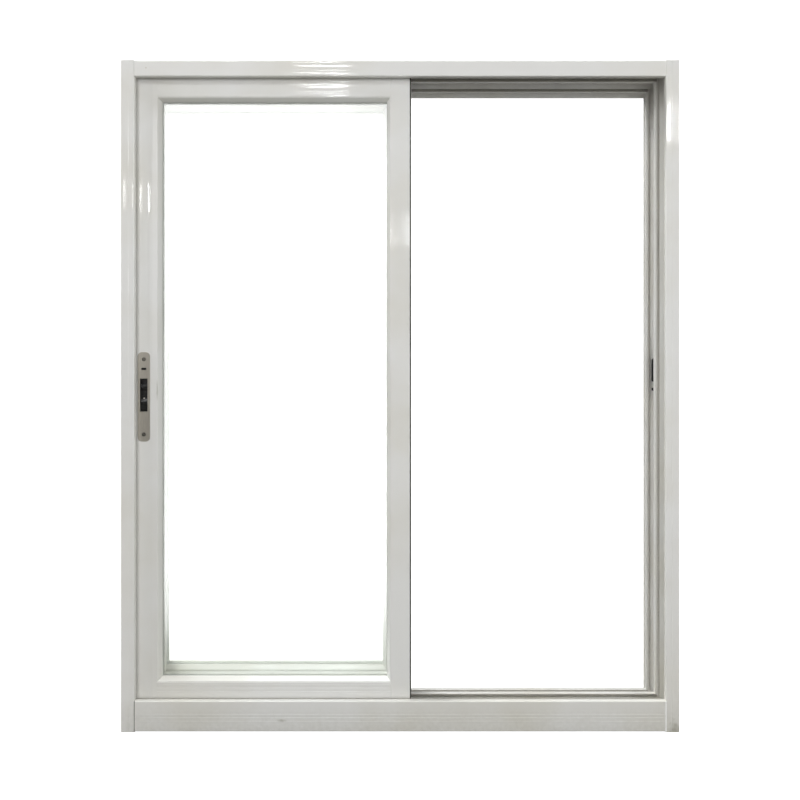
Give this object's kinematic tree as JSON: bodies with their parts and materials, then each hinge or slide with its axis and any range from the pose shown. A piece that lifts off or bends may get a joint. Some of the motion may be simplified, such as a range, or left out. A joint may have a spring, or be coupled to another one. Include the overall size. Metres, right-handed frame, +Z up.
{
  "type": "horizontal sliding window",
  "caption": "Aluminium sliding window with overlapping glazed sashes on roller rails, flush lock and empty screen track.",
  "frame": {"origin": "middle of the sill's underside, at mid-depth of the frame", "axes": "+X to the right seen from the room, +Y from the room to the outside, +Z up"},
  "size_m": [1, 0.137, 1.204],
  "materials": {
    "white_frame": "white powder coat on extruded aluminium, satin to gloss",
    "white_bead": "white powder coat on the snap-in beads",
    "clear_glass": "clear float glass, 6 mm",
    "gasket_rubber": "light grey silicone glazing rubber",
    "pile_grey": "light grey polypropylene pile on a backing strip",
    "plate_steel": "satin stainless steel",
    "case_zinc": "dark passivated die-cast zinc",
    "thumb_black": "black moulded nylon",
    "keeper_black": "black coated zinc",
    "roller_nylon": "off-white nylon wheel",
    "roller_steel": "zinc-plated pressed steel"
  },
  "bodies": {
    "frame": {"left_jamb": "white_frame", "right_jamb": "white_frame", "head": "white_frame", "sill": "white_frame", "left_keeper": "keeper_black", "right_keeper": "keeper_black", "left_seals": "pile_grey", "right_seals": "pile_grey", "head_seals": "pile_grey", "sill_seals": "pile_grey"},
    "front_sash": {"front_lock_stile": "white_frame", "front_meeting_stile": "white_frame", "front_top_rail": "white_frame", "front_bottom_rail": "white_frame", "front_glass": "clear_glass", "front_gasket": "gasket_rubber", "front_roller_wheels": "roller_nylon", "front_roller_housings": "roller_steel", "front_lock_plate": "plate_steel", "front_lock_case": "case_zinc", "front_bottom_bead": "white_bead", "front_top_bead": "white_bead", "front_lock_bead": "white_bead", "front_meeting_bead": "white_bead"},
    "rear_sash": {"rear_lock_stile": "white_frame", "rear_meeting_stile": "white_frame", "rear_top_rail": "white_frame", "rear_bottom_rail": "white_frame", "rear_glass": "clear_glass", "rear_gasket": "gasket_rubber", "rear_roller_wheels": "roller_nylon", "rear_roller_housings": "roller_steel", "rear_lock_plate": "plate_steel", "rear_lock_case": "case_zinc", "rear_thumb": "thumb_black", "rear_bottom_bead": "white_bead", "rear_top_bead": "white_bead", "rear_lock_bead": "white_bead", "rear_meeting_bead": "white_bead"},
    "front_lock_thumb": {"front_thumb": "thumb_black"}
  },
  "joints": [
    {"name": "front_sash_slide", "type": "slide", "parent": "frame", "child": "front_sash", "axis": [1, 0, 0], "range_m": [0, 0.449]},
    {"name": "rear_sash_slide", "type": "slide", "parent": "frame", "child": "rear_sash", "axis": [1, 0, 0], "range_m": [0, 0.467]},
    {"name": "front_thumb_slide", "type": "slide", "parent": "front_sash", "child": "front_lock_thumb", "axis": [0, 0, 1], "range_m": [0, 0.01]}
  ]
}
